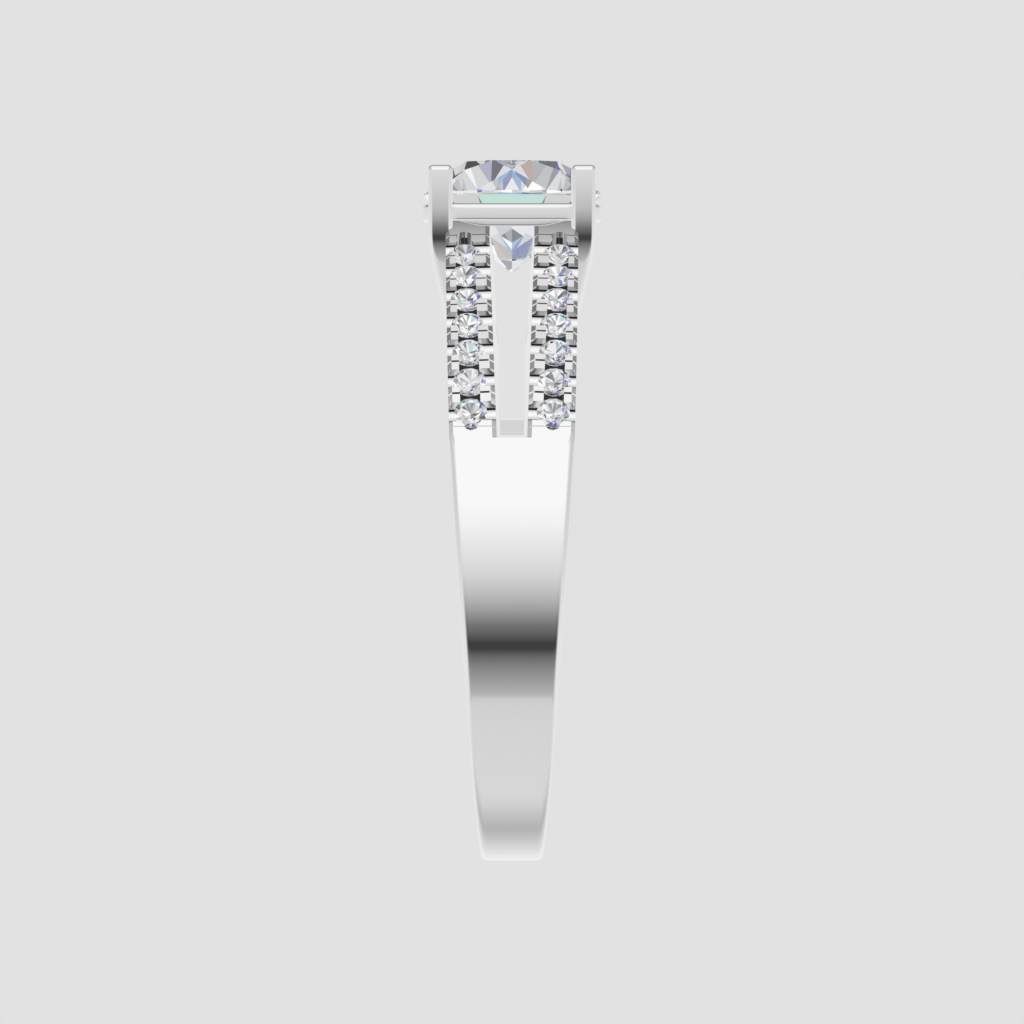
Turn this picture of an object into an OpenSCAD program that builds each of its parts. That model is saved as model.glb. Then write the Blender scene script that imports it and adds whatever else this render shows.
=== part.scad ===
// Diamond engagement ring. A polished white-metal band tapers towards the palm and splits into two
// rows on each side of the head. Each row carries seven small round brilliants between bead blocks.
// The head is a rounded-square gallery rail with four straight claws round one large brilliant.
//
// The ring is drawn upright first: the bore runs along x, the head is up along z, and the side with
// the first two rows faces -y. It is then laid on its side, as it rests by itself: the head points
// along +X, the bore is nearly upright, and the rail's flat side and the back of the band touch Z = 0.

/* [Band] */
// Diameter of the finger hole
finger_d = 16.9; // [16:0.1:18]
// Thickness of the plain band
band_t = 1.62; // [1.5:0.02:1.8]
// Width of the band at its narrowest, opposite the head
band_w_low = 2; // [1.8:0.1:2.3]
// Width of the band where the two rows part
band_w_split = 3.94; // [3.8:0.02:4.2]
// Width over both rows under the head
band_w_head = 4.48; // [4.3:0.02:4.6]
// Thickness of the plain bands that close the finger hole under the head
under_head_t = 0.95; // [0.8:0.05:1.05]

/* [Shoulders] */
// Angle above the middle of the finger hole where a shoulder leaves the round of the band
shoulder_angle = 28; // [26:1:30]
// Radius of a shoulder's arch, seen along the finger
shoulder_r = 17.9; // [17.5:0.1:18.5]
// Thickness of a shoulder's arch
shoulder_t = 1.3; // [1.2:0.05:1.4]
// Height of the slot's lower end above the middle of the finger hole
slot_low = 4.68; // [4.5:0.02:4.8]
// Width of the slot at its lower end
slot_w_low = 0.97; // [0.8:0.01:1.1]
// Width of the slot under the head
slot_w_head = 1.5; // [1.3:0.05:1.6]

/* [Rows of stones] */
// Girdle diameter of a small stone
stone_d = 1.05; // [0.95:0.01:1.08]
// Distance between neighbouring stones along the arch
stone_pitch = 1.147; // [1.14:0.001:1.16]
// Distance of the last stone from the start of the arch
last_stone = 0.89; // [0.85:0.01:0.95]
// Distance between the two rows at the last stones
row_gap_low = 2.6; // [2.55:0.01:2.65]
// Distance between the two rows at the first stones
row_gap_head = 3.08; // [3:0.01:3.1]
// How far the small girdles lie below the tops of the bead blocks
stone_sink = 0.14; // [0.1:0.01:0.18]
// Width of the channel between the bead blocks
channel_w = 0.64; // [0.56:0.01:0.68]
// Depth of the channel
channel_depth = 0.5; // [0.4:0.02:0.6]
// Radius of the scallops that free the side of each stone
scallop_r = 0.28; // [0.24:0.01:0.3]
// Distance from the first stone to the drilled round that ends the channel
channel_head_end = 0.84; // [0.82:0.01:0.92]
// Radius of that drilled round
head_drill_r = 0.285; // [0.25:0.005:0.3]
// Distance from the last stone to the channel's rounded lower end
channel_low_end = 0.69; // [0.65:0.01:0.7]
// Radius of that lower end
low_end_r = 0.22; // [0.2:0.01:0.24]

/* [Centre stone] */
// Girdle diameter of the centre stone
centre_d = 6; // [5.9:0.02:6.1]
// Height of its girdle above the middle of the finger hole
girdle_up = 12.56; // [12.4:0.02:12.7]
// Table width over its corners, as a share of the diameter
table_share = 0.55; // [0.5:0.01:0.6]
// Crown height as a share of the diameter
crown_share = 0.172; // [0.15:0.002:0.18]
// Pavilion depth as a share of the diameter
pavilion_share = 0.43; // [0.41:0.005:0.45]
// Girdle thickness as a share of the diameter
girdle_share = 0.025; // [0.02:0.005:0.04]
// Gap left between a stone and its seat
stone_gap = 0.02; // [0.01:0.005:0.03]

/* [Head] */
// Width of the rail over its flat sides
rail_w = 6.02; // [6.02:0.02:6.2]
// Radius of the rail's corners
rail_corner_r = 1.5; // [1.2:0.05:1.7]
// Top of the rail, below the girdle
rail_drop = 0.37; // [0.3:0.01:0.42]
// Height of the rail's broad tier
rail_h = 0.54; // [0.5:0.01:0.6]
// Height of the narrower tier under it
rail_foot_h = 0.21; // [0.18:0.01:0.25]
// How far the narrower tier is set back
rail_foot_in = 0.18; // [0.1:0.01:0.2]
// Width of the round opening in the rail
rail_opening_d = 4.7; // [4.6:0.05:4.8]
// Width of a claw across its front
claw_w = 0.8; // [0.75:0.01:0.86]
// Distance from the head's axis to the outer face of a claw
claw_out = 2.77; // [2.74:0.01:2.85]
// Distance from the head's axis to the front of a claw
claw_front = 3; // [2.98:0.01:3.01]
// Thickness of a claw from front to back
claw_t = 1; // [0.95:0.01:1.03]
// How far the claws stand above the girdle
claw_up = 0.89; // [0.8:0.01:1]
// Height over which the top edges of a claw are bevelled
claw_bevel = 0.14; // [0.1:0.01:0.2]
// Drop from the girdle to where a claw starts to lean inwards
claw_bend_drop = 1.32; // [1.1:0.02:1.4]
// Height over which it bends
claw_bend_h = 1.24; // [1.1:0.02:1.3]
// Lean of its lower stretch, as width lost for each unit of height
claw_lean = 0.21; // [0.18:0.01:0.24]
// Radius of the curve in which a claw's front leans back, from the girdle down
claw_curve_r = 5.7; // [5.5:0.1:6]
// Height of that curve, below which the claw runs on straight
claw_curve_h = 2.5; // [2.3:0.1:2.6]

/* [Hidden] */
$fn = 96;
bore_r = finger_d / 2;
band_r = bore_r + band_t;
table_up = girdle_up + centre_d * (girdle_share / 2 + crown_share);
claw_top = girdle_up + claw_up;
rail_top = girdle_up - rail_drop;
rail_low = rail_top - rail_h;
rail_foot = rail_low - rail_foot_h;
side_faces = 8;          // facets of a cut stone go round in eights
facet_turn = 360 / side_faces;
rows = 4;
row_stones = 7;
arch_clear = 0.015;      // the arch starts this far outside the round of the band, so the two never graze
far = 13;                // longer than any cut needs
well_y = 2.05;           // the arches end here, outside the stone's pavilion
drill_depth = channel_depth + 0.06;  // the drilled round goes a little deeper than the channel

// the arch of the near shoulder: its centre, and a point and a slope on it at distance s
arch_cy = (shoulder_r - band_r) * cos(shoulder_angle);
arch_cz = -(shoulder_r - band_r) * sin(shoulder_angle);
function slope(s) = shoulder_angle + s / shoulder_r * 180 / PI;
function arch_y(s, r = shoulder_r) = arch_cy - r * cos(slope(s));
function arch_z(s, r = shoulder_r) = arch_cz + r * sin(slope(s));
shoulder_z = arch_z(0);
function stone_s(i) = last_stone + (row_stones - 1 - i) * stone_pitch;
function row_x(s) = (row_gap_low + (row_gap_head - row_gap_low)
    * (s - stone_s(row_stones - 1)) / (stone_s(0) - stone_s(row_stones - 1))) / 2;

// laid on its side the ring touches at the rail's lower edge and at the rim of the band's back
rest_tilt = atan((rail_w / 2 - band_w_low / 2) / (rail_low + band_r));
function laid_x(x, z) = x * sin(rest_tilt) + z * cos(rest_tilt);
function laid_z(x, z) = z * sin(rest_tilt) - x * cos(rest_tilt);
table_flat = centre_d * table_share / 2 * cos(facet_turn / 2);
head_end = max(laid_x(table_flat, table_up), laid_x(claw_out, claw_top - claw_bevel));
back_end = laid_x(-band_w_low / 2, -band_r);
floor_level = laid_z(rail_w / 2, rail_low);

function side_name(row, i) = str("side_diamond_", row, i + 1);

// from the upright ring to the ring as it lies
module laid() {
    translate([-(head_end + back_end) / 2, 0, -floor_level])
        rotate([0, 90 - rest_tilt, 0])
            children();
}

// a cylinder along the bore, at a place seen along the finger
module along_bore(r, y = 0, z = 0, w = 2 * far) {
    translate([0, y, z]) rotate([0, 90, 0]) cylinder(r = r, h = w, center = true);
}

// an outline given across and up, carried along y
module along_y(y0, y1) {
    translate([0, y1, 0]) rotate([90, 0, 0]) linear_extrude(y1 - y0) children();
}

// rows 1 and 2 lie on the near shoulder and rows 3 and 4 on the far one, each pair mirrored
module on_row(row) {
    rotate([0, 0, row > 2 ? 180 : 0])
        mirror([row % 2 == 1 ? 1 : 0, 0, 0])
            children();
}

// a place on the arch of the near shoulder, z outwards
module on_arch(s, x = 0) {
    translate([x, arch_y(s), arch_z(s)]) rotate([90 - slope(s), 0, 0]) children();
}

// Cut stones

// a ring of n points at radius r
function ring(r, n, z, turn = 0) =
    [for (k = [0:n - 1]) [r * cos(turn + k * 360 / n), r * sin(turn + k * 360 / n), z]];

// the girdle's rim: its points between the main facets follow the half facets, so it is scalloped
function rim(r, z, n, drop) =
    [for (k = [0:n - 1]) let (a = k * 360 / n)
        [r * cos(a), r * sin(a), z + (n > 16 && k % 2 == 1 ? drop : 0)]];

// Round brilliant: a table, 8 stars, 8 kites and 16 halves above the girdle, 16 halves and 8 mains
// below it. The star corners lie in the planes of the kites, and the lower corners in those of the mains.
module brilliant(d, halves_in = 1, star = 0.5, lower = 0.77) {
    r = d / 2;
    rt = r * table_share;
    h = d * crown_share;
    depth = d * pavilion_share;
    g = d * girdle_share / 2;
    n = 16 * halves_in;
    c = cos(facet_turn / 2);
    rs = rt * c + star * (r - rt * c);
    zs = h * (r - rs * c) / (r - rt);
    rb = r * (1 - lower);
    zb = depth * (1 - rb * c / r);
    outside = r * (1 - cos(facet_turn / 4));
    up_slope = zs / ((r - rs) * cos(facet_turn / 4));
    low_slope = zb / ((r - rb) * cos(facet_turn / 4));
    points = concat([[0, 0, -g - depth]],
        ring(rb, 8, -g - zb, facet_turn / 2),
        rim(r, -g, n, outside * min(low_slope, g / outside * 0.4)),
        rim(r, g, n, -outside * min(up_slope, g / outside * 0.4)),
        ring(rs, 8, g + zs, facet_turn / 2),
        ring(rt, 8, g + h));
    low = 1;
    lg = 9;
    ug = lg + n;
    st = ug + n;
    tb = st + 8;
    m = 2 * halves_in;
    outward = concat([[for (k = [0:7]) tb + k]],
        [for (k = [0:7]) [st + k, tb + (k + 1) % 8, tb + k]],
        [for (k = [0:7]) [ug + m * k, st + k, tb + k, st + (k + 7) % 8]],
        [for (k = [0:7], f = [0:1])
            concat([for (j = [0:halves_in]) ug + (m * k + f * halves_in + j) % n], [st + k])],
        [for (j = [0:n - 1]) [lg + j, lg + (j + 1) % n, ug + (j + 1) % n, ug + j]],
        [for (k = [0:7], f = [0:1])
            concat([low + k], [for (j = [halves_in:-1:0]) lg + (m * k + f * halves_in + j) % n])],
        [for (k = [0:7]) [0, low + k, lg + m * k, low + (k + 7) % 8]]);
    polyhedron(points, [for (f = outward) [for (j = [len(f) - 1:-1:0]) f[j]]], convexity = 2);
}

// the room that a stone takes in the metal, from its point to above its table
module seat(d) {
    r = d / 2 + stone_gap;
    g = d * girdle_share / 2 + stone_gap;
    depth = d * pavilion_share + stone_gap;
    h = d * crown_share + stone_gap;
    rt = d * table_share / 2 + stone_gap;
    rotate_extrude()
        polygon([[0, -g - depth], [r, -g], [r, g], [rt, g + h], [rt, g + h + d / 4], [0, g + h + d / 4]]);
}

module centre_diamond() {
    color("lightcyan")
        laid()
            translate([0, 0, girdle_up])
                rotate([0, 0, facet_turn / 2])
                    brilliant(centre_d, 2);
}

module side_diamond(row, i) {
    color("lightcyan")
        laid()
            on_row(row)
                on_arch(stone_s(i), row_x(stone_s(i)))
                    translate([0, 0, -stone_sink])
                        rotate([0, 0, 17 * i + 11 * row])
                            brilliant(stone_d);
}

// Metal

// the outline seen along the finger: the round of the band, and above it the lens of the two arches
module shank_round() {
    along_bore(band_r);
    intersection() {
        along_bore(shoulder_r + arch_clear, arch_cy, arch_cz);
        along_bore(shoulder_r + arch_clear, -arch_cy, arch_cz);
        translate([-far, -far, shoulder_z]) cube([2 * far, 2 * far, rail_foot + 0.06 - shoulder_z]);
    }
}

// the outline seen from the photographed side, tapering down to the back of the band
module shank_front() {
    slope_x = (band_w_split - band_w_low) / (shoulder_z + band_r) / 2;
    under = 1;
    along_y(-far, far)
        polygon([[-band_w_low / 2 + slope_x * under, -band_r - under],
            [band_w_low / 2 - slope_x * under, -band_r - under],
            [band_w_split / 2, shoulder_z], [band_w_head / 2, rail_foot + 1],
            [-band_w_head / 2, rail_foot + 1], [-band_w_split / 2, shoulder_z]]);
}

// the slot between the rows, open from the band to the rail
module slot() {
    along_y(-far, far)
        polygon([[-slot_w_low / 2, slot_low], [slot_w_low / 2, slot_low],
            [slot_w_head / 2, rail_foot - 0.5], [slot_w_head / 2, far],
            [-slot_w_head / 2, far], [-slot_w_head / 2, rail_foot - 0.5]]);
}

// the open space under the head, and the windows between the arches and the bands round the finger
module under_head() {
    difference() {
        union() {
            translate([-far, -well_y, bore_r - 1]) cube([2 * far, 2 * well_y, far]);
            intersection() {
                along_bore(shoulder_r - shoulder_t, arch_cy, arch_cz);
                along_bore(shoulder_r - shoulder_t, -arch_cy, arch_cz);
                translate([-far, -bore_r, bore_r / 2]) cube([2 * far, 2 * bore_r, far]);
            }
        }
        along_bore(bore_r + under_head_t, w = 3 * far);
    }
}

// scallops across both rows of a shoulder, one at each stone
module scallops() {
    for (turn = [0, 180], i = [0:row_stones - 1])
        rotate([0, 0, turn]) along_bore(scallop_r, arch_y(stone_s(i)), arch_z(stone_s(i)), 2 * band_w_head);
}

// the channel down the middle of a row: rounded at its lower end, with a drilled round at the head
module channel(row) {
    s_low = last_stone - channel_low_end;
    s_head = stone_s(0) + channel_head_end;
    // places along the arch with the channel's half width there
    outline = [[s_low, low_end_r * 0.4], [s_low + low_end_r * 0.3, low_end_r * 0.8],
        [s_low + low_end_r, low_end_r], [s_low + low_end_r + 0.1, channel_w / 2],
        [s_head, head_drill_r - 0.025]];
    last = len(outline) - 1;
    on_row(row) {
        intersection() {
            difference() {
                along_bore(shoulder_r + 1, arch_cy, arch_cz);
                along_bore(shoulder_r - channel_depth, arch_cy, arch_cz, 3 * far);
            }
            along_y(-far, 0)
                polygon([for (side = [-1, 1], k = [0:last]) let (p = outline[side < 0 ? k : last - k])
                    [row_x(p[0]) + side * p[1], arch_z(p[0])]]);
        }
        on_arch(s_head, row_x(s_head)) translate([0, 0, -drill_depth]) cylinder(r = head_drill_r, h = 2);
    }
}

module shank() {
    difference() {
        intersection() {
            union() shank_round();
            shank_front();
        }
        slot();
        under_head();
        scallops();
        for (row = [1:rows]) channel(row);
    }
}

// rounded square, its corners in short flats
module rounded_square(w, r, steps = 8) {
    polygon([for (q = [0:3], k = [0:steps]) let (a = 90 * q + 90 * k / steps, m = w / 2 - r)
        [(q == 0 || q == 3 ? m : -m) + r * cos(a), (q < 2 ? m : -m) + r * sin(a)]]);
}

module rail() {
    difference() {
        union() {
            translate([0, 0, rail_low]) linear_extrude(rail_h) rounded_square(rail_w, rail_corner_r);
            translate([0, 0, rail_foot]) linear_extrude(rail_foot_h + 0.1)
                rounded_square(rail_w - 2 * rail_foot_in, rail_corner_r - rail_foot_in);
        }
        translate([0, 0, rail_foot - 1]) cylinder(d = rail_opening_d, h = 3);
    }
}

// Four claws: straight beside the stone, bent inwards below it, with their feet in the bands.
// claw_x gives the outer face at a drop below the girdle, and claw_y the front.
function claw_x(drop) = claw_out - claw_lean * (drop < claw_bend_drop ? 0
    : drop < claw_bend_drop + claw_bend_h ? pow(drop - claw_bend_drop, 2) / 2 / claw_bend_h
    : drop - claw_bend_drop - claw_bend_h / 2);
function claw_y(drop) = let (turn = asin(min(max(drop, 0), claw_curve_h) / claw_curve_r))
    claw_front - claw_curve_r * (1 - cos(turn)) - max(drop - claw_curve_h, 0) * tan(turn);

// outline of a claw between its outer line and its inner one, a thickness further in, bevelled on top
function claw_outline(lines, thickness) = let (first = lines[0], last = len(lines) - 1)
    concat(lines, [for (k = [last:-1:0]) [lines[k][0] - thickness, lines[k][1]]],
        [[first[0] - thickness, claw_top - claw_bevel], [first[0] - thickness + claw_bevel, claw_top],
        [first[0] - claw_bevel, claw_top], [first[0], claw_top - claw_bevel]]);

module claws() {
    foot_drop = girdle_up - bore_r + 0.4;
    steps = 6;
    bend_drops = concat([for (k = [0:steps]) claw_bend_drop + claw_bend_h * k / steps], [foot_drop]);
    curve_drops = concat([for (k = [0:steps]) claw_curve_h * k / steps], [foot_drop]);
    for (mx = [0, 1], my = [0, 1])
        mirror([mx, 0, 0]) mirror([0, my, 0])
            intersection() {
                along_y(-claw_front, claw_front)
                    polygon(claw_outline([for (d = bend_drops) [claw_x(d), girdle_up - d]], claw_w));
                rotate([90, 0, 90]) linear_extrude(claw_out)
                    polygon(claw_outline([for (d = curve_drops) [claw_y(d), girdle_up - d]], claw_t));
            }
}

module ring_mount() {
    color("silver")
        laid()
            difference() {
                union() {
                    shank();
                    rail();
                    claws();
                }
                along_bore(bore_r);
                translate([0, 0, girdle_up]) seat(centre_d);
                for (row = [1:rows], i = [0:row_stones - 1])
                    on_row(row) on_arch(stone_s(i), row_x(stone_s(i)))
                        translate([0, 0, -stone_sink]) seat(stone_d);
            }
}

ring_mount();
centre_diamond();
for (row = [1:rows], i = [0:row_stones - 1])
    side_diamond(row, i);
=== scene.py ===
"""Looks of a diamond engagement ring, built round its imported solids.

The metal is worked out as smooth surfaces with small edge roundings, and the cut stones keep the
solids' own facets. Lengths inside the shape functions are millimetres of the upright ring: x runs
along the finger hole, z is up to the head, and the first two rows face -y. laid() turns such points
to the ring as it lies on its side, in metres, which is the frame that everything shares.
"""

import math
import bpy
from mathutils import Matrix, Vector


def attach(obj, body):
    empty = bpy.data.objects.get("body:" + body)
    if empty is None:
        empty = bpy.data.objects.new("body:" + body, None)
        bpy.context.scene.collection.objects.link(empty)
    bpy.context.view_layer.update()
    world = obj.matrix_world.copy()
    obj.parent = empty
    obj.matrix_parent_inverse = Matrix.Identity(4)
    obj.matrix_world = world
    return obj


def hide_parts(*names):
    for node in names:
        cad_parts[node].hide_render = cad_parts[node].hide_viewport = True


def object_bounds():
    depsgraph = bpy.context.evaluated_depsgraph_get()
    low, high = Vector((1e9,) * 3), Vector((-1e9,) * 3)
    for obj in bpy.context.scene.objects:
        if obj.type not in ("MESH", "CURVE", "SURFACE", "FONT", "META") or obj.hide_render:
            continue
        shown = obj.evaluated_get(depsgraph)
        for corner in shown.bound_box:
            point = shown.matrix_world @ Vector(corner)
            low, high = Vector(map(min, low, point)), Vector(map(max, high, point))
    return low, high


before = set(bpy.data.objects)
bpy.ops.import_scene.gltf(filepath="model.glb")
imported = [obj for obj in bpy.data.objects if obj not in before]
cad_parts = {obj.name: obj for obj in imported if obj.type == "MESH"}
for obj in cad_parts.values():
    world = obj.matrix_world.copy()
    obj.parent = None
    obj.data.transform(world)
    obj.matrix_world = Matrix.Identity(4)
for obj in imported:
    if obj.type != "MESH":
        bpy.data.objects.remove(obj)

from types import SimpleNamespace

import bmesh
import bpy
import numpy as np
from mathutils import Matrix, Vector

CAD_BOX = [list(corner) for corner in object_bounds()]

bl_info = {
    "name": "Diamond Engagement Ring",
    "version": (1, 0, 0),
    "blender": (4, 5, 0),
    "location": "3D View > Sidebar > Ring",
    "description": "Builds the polished metal, the cut stones and the studio of an engagement ring",
    "category": "Object",
}

MM = 0.001
ROW_STONES = 7
POLISHED = "white_gold_rhodium_polished"

# Details of the shank that no setting changes, in millimetres and degrees
SPLIT_DEG = 28  # where a shoulder leaves the band, above the horizontal
HEAD_DEG = 59  # where it ends under the head
WINDOW_START = 5.32  # where the open window under a shoulder begins, along its outer line
WELL_Y = 2.05  # half of the open space below the centre stone
ROW_SHARE = 0.655  # where a row's middle line starts, as a share of the band's half width
HOLE_EDGE = 0.12  # rounding along the finger hole
SIDE_TOP = 0.36  # depth at which the flat sides begin
CHANNEL_LOW = 0.69  # the channel's lower end, below the last stone
CHANNEL_LOW_R = 0.22  # radius of that end
CHANNEL_FULL = 0.32  # from that end to where the channel has its full width
DRILL_UP = 0.84  # middle of the drilled round, above the first stone
DRILL_R = 0.275  # its radius
DRILL_END = 0.276  # just past that radius
DRILL_NECK = 0.235  # half width of the channel where it meets the drilled round
NARROW = 0.02  # half width of the channel's columns where there is no channel
SEAT_SLACK = 0.02  # room between a small girdle and its seat
GIRDLE_HALF = 0.033  # half the thickness of a small girdle
PAVILION = 0.47  # depth of a small stone below its girdle
CROWN_R = 0.419  # radius of a small stone at the height of the block tops
SHADE_BELT_DEG = (4, 17)  # belt of a groove's wall, below where it turns straight, painted black as shade

# Details of the head, in millimetres
SEAT_TOP_R = 2.7  # radius of the centre stone's seat at the top of the rail
SEAT_LOW = 0.634  # the seat's lower end, below the girdle
CLAW_FOOT_EDGE = 0.38  # rounding of a claw's long edges at its foot

# The photograph's camera, fitted to it in millimetres of the upright ring: place, degrees that it
# looks down, and focal length and picture width in pixels
CAMERA = (0, -110, 8.74)
CAMERA_DOWN = 3.62
FOCAL_PX = 3229.3
PICTURE_PX = 1024


# Settings


def length(label, about, millimetres):
    """A length property, kept in metres and given here in millimetres."""
    return bpy.props.FloatProperty(
        name=label,
        description=about,
        default=millimetres * MM,
        min=0,
        max=40 * MM,
        precision=5,
        step=0.001,
        subtype="DISTANCE",
        unit="LENGTH",
    )


def srgb(text):
    """A colour written as sRGB hex, as linear red, green and blue."""
    parts = [int(text[i : i + 2], 16) / 255 for i in (1, 3, 5)]
    return tuple(c / 12.92 if c <= 0.04045 else ((c + 0.055) / 1.055) ** 2.4 for c in parts)


def colour(label, about, text):
    """A colour property with its default given as sRGB hex."""
    return bpy.props.FloatVectorProperty(
        name=label, description=about, default=srgb(text), size=3, min=0, max=1, subtype="COLOR"
    )


class BandSizes(bpy.types.PropertyGroup):
    finger_d: length("Finger hole", "Diameter of the finger hole", 16.9)
    band_t: length("Thickness", "Thickness of the plain band", 1.62)
    width_low: length("Width at the back", "Width of the band at its narrowest", 2.0)
    width_split: length("Width at the split", "Width of the band where the rows part", 3.94)
    width_head: length("Width at the head", "Width over both rows under the head", 4.48)
    edge_w: length("Edge width", "Width of the rounding along the band's edges", 0.25)
    edge_h: length("Edge depth", "Depth of the rounding along the band's edges", 0.15)
    under_head_t: length("Under the head", "Thickness of the bands that close the hole", 0.95)
    arch_r: length("Shoulder arch", "Radius of a shoulder's arch", 17.9)
    arch_t: length("Shoulder thickness", "Thickness of a shoulder's arch", 1.3)
    slot_low: length("Slot's lower end", "Height of the slot's end above the hole's middle", 4.68)
    slot_w_low: length("Slot width, low", "Width of the slot at its lower end", 0.97)
    slot_w_head: length("Slot width, head", "Width of the slot under the head", 1.5)


class RowSizes(bpy.types.PropertyGroup):
    stone_d: length("Small stone", "Girdle diameter of a small stone", 1.05)
    pitch: length("Pitch", "Distance between neighbouring stones", 1.147)
    last_stone: length("Last stone", "Distance of the last stone from the arch's start", 0.89)
    gap_low: length("Rows apart, low", "Distance between the rows at the last stones", 2.6)
    gap_head: length("Rows apart, head", "Distance between the rows at the first stones", 3.08)
    sink: length("Sink", "How far the small girdles lie below the bead blocks", 0.14)
    channel_w: length("Channel width", "Width between the bead blocks", 0.64)
    channel_depth: length("Channel depth", "Depth of the channel", 0.5)
    groove_r: length("Groove", "Radius of the grooves between the bead blocks", 0.303)
    groove_up: length("Groove lift", "How far the grooves near the head stand above the stones", 0.24)
    chamfer: length("Chamfer", "Width of the bead blocks' side chamfers", 0.13)
    crease: length("Crease", "Depth of the fine crease across each bead block", 0.045)


class HeadSizes(bpy.types.PropertyGroup):
    girdle_up: length("Girdle height", "Height of the centre girdle above the hole's middle", 12.56)
    rail_w: length("Rail width", "Width of the gallery rail over its flat sides", 6.02)
    rail_corner: length("Rail corner", "Radius of the rail's corners", 1.5)
    rail_drop: length("Rail drop", "Top of the rail below the girdle", 0.37)
    rail_h: length("Rail height", "Height of the rail's broad tier", 0.54)
    foot_h: length("Foot height", "Height of the narrower tier under it", 0.21)
    foot_in: length("Foot set-back", "How far the narrower tier is set back", 0.18)
    opening_d: length("Opening", "Width of the round opening in the rail", 4.7)
    claw_w: length("Claw width", "Width of a claw across its front", 0.8)
    claw_out: length("Claw distance", "From the head's axis to a claw's outer face", 2.77)
    claw_up: length("Claw height", "How far the claws stand above the girdle", 0.89)
    claw_front: length("Claw front", "From the head's axis to a claw's front face", 3.0)
    claw_back: length("Claw back", "From the head's axis to a claw's back face", 2.0)
    claw_edge: length("Claw edges", "Rounding of a claw's long edges", 0.175)
    claw_top: length("Claw rounding", "Rounding of a claw's top edges", 0.17)


class Finishes(bpy.types.PropertyGroup):
    metal: colour("White gold", "Colour of the polished plating", "#f0f0f1")
    diamond_cold: colour("Diamond, cold", "Body colour of the stones' coldest zones", "#fafbff")
    diamond_warm: colour("Diamond, warm", "Body colour of the stones' warmest zones", "#fffefb")
    floor: colour("Floor", "Colour of the studio floor", "#e6e6e6")


def setting_names(group):
    """The names of a group's settings, without those that every group has."""
    return [name for name in group.bl_rna.properties.keys() if name not in ("rna_type", "name")]


def ring_values():
    """The sizes of the settings in millimetres, with the values that follow from them."""
    scene = bpy.context.scene
    v = SimpleNamespace()
    for group in (scene.ring_band, scene.ring_rows, scene.ring_head):
        for name in setting_names(group):
            setattr(v, name, getattr(group, name) / MM)
    v.bore_r = v.finger_d / 2
    v.band_r = v.bore_r + v.band_t
    v.lift = math.radians(SPLIT_DEG)
    v.arch_y = (v.arch_r - v.band_r) * math.cos(v.lift)
    v.arch_z = -(v.arch_r - v.band_r) * math.sin(v.lift)
    v.rail_top = v.girdle_up - v.rail_drop
    v.rail_low = v.rail_top - v.rail_h
    v.rail_foot = v.rail_low - v.foot_h
    v.shoulder_z = v.arch_z + v.arch_r * math.sin(v.lift)
    # stones, grooves and creases are places along the arch, counted from the head
    from_low = np.arange(ROW_STONES - 1, -1, -1)
    v.stones = v.last_stone + v.pitch * from_low
    # the grooves start just below the stones' middles and rise above them towards the head; each
    # has a round floor and an upper wall that leans out by the same angle all along the arch
    groove_below, groove_fade, wall_lean = 0.045, 1.9, math.radians(22)
    v.grooves = v.stones - groove_below + v.groove_up * (1 - np.exp(-from_low / groove_fade))
    v.groove_turn = v.lift + v.grooves / v.arch_r + wall_lean
    v.groove_top = v.groove_r / np.sin(v.groove_turn)
    # the creases lie a little above the middle between two grooves' rims, and higher at the head
    low_rims = np.append(v.grooves[0] + v.pitch, v.grooves) - v.groove_r
    up_rims = np.append(v.grooves + v.groove_top, v.grooves[-1] - v.pitch + v.groove_top[-1])
    crease_off, crease_rise, crease_fade, crease_lean = 0.045, 0.13, 2.2, math.radians(12)
    at_head = np.exp(-((np.arange(ROW_STONES + 1) / crease_fade) ** 2))
    v.creases = (low_rims + up_rims) / 2 + crease_off + crease_rise * at_head
    v.crease_up = v.crease / np.tan(v.lift + v.creases / v.arch_r + crease_lean)
    # at rest the ring touches the floor at the rail's lower edge and at the rim of the band's back
    v.tilt = math.atan((v.rail_w - v.width_low) / 2 / (v.rail_low + v.band_r))
    return v


def laid(points, v):
    """Upright millimetres to the lying ring in metres: turned about y by a right angle less the
    tilt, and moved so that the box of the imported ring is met."""
    s, c = math.sin(v.tilt), math.cos(v.tilt)
    x, y, z = np.moveaxis(np.asarray(points, float), -1, 0)
    back = -v.width_low / 2 * s - v.band_r * c
    shift = CAD_BOX[0][0] / MM - back
    floor = v.rail_low * s - v.rail_w / 2 * c
    return np.stack([x * s + z * c + shift, y, z * s - x * c - floor], -1) * MM


# Making meshes


def grid_faces(rows, columns):
    """Quads of a grid of rows by columns points, with the columns closed into loops."""
    i, j = np.meshgrid(np.arange(rows - 1), np.arange(columns), indexing="ij")
    k = (j + 1) % columns
    quads = np.stack([i * columns + j, i * columns + k, (i + 1) * columns + k, (i + 1) * columns + j], -1)
    return quads.reshape(-1, 4)


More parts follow.
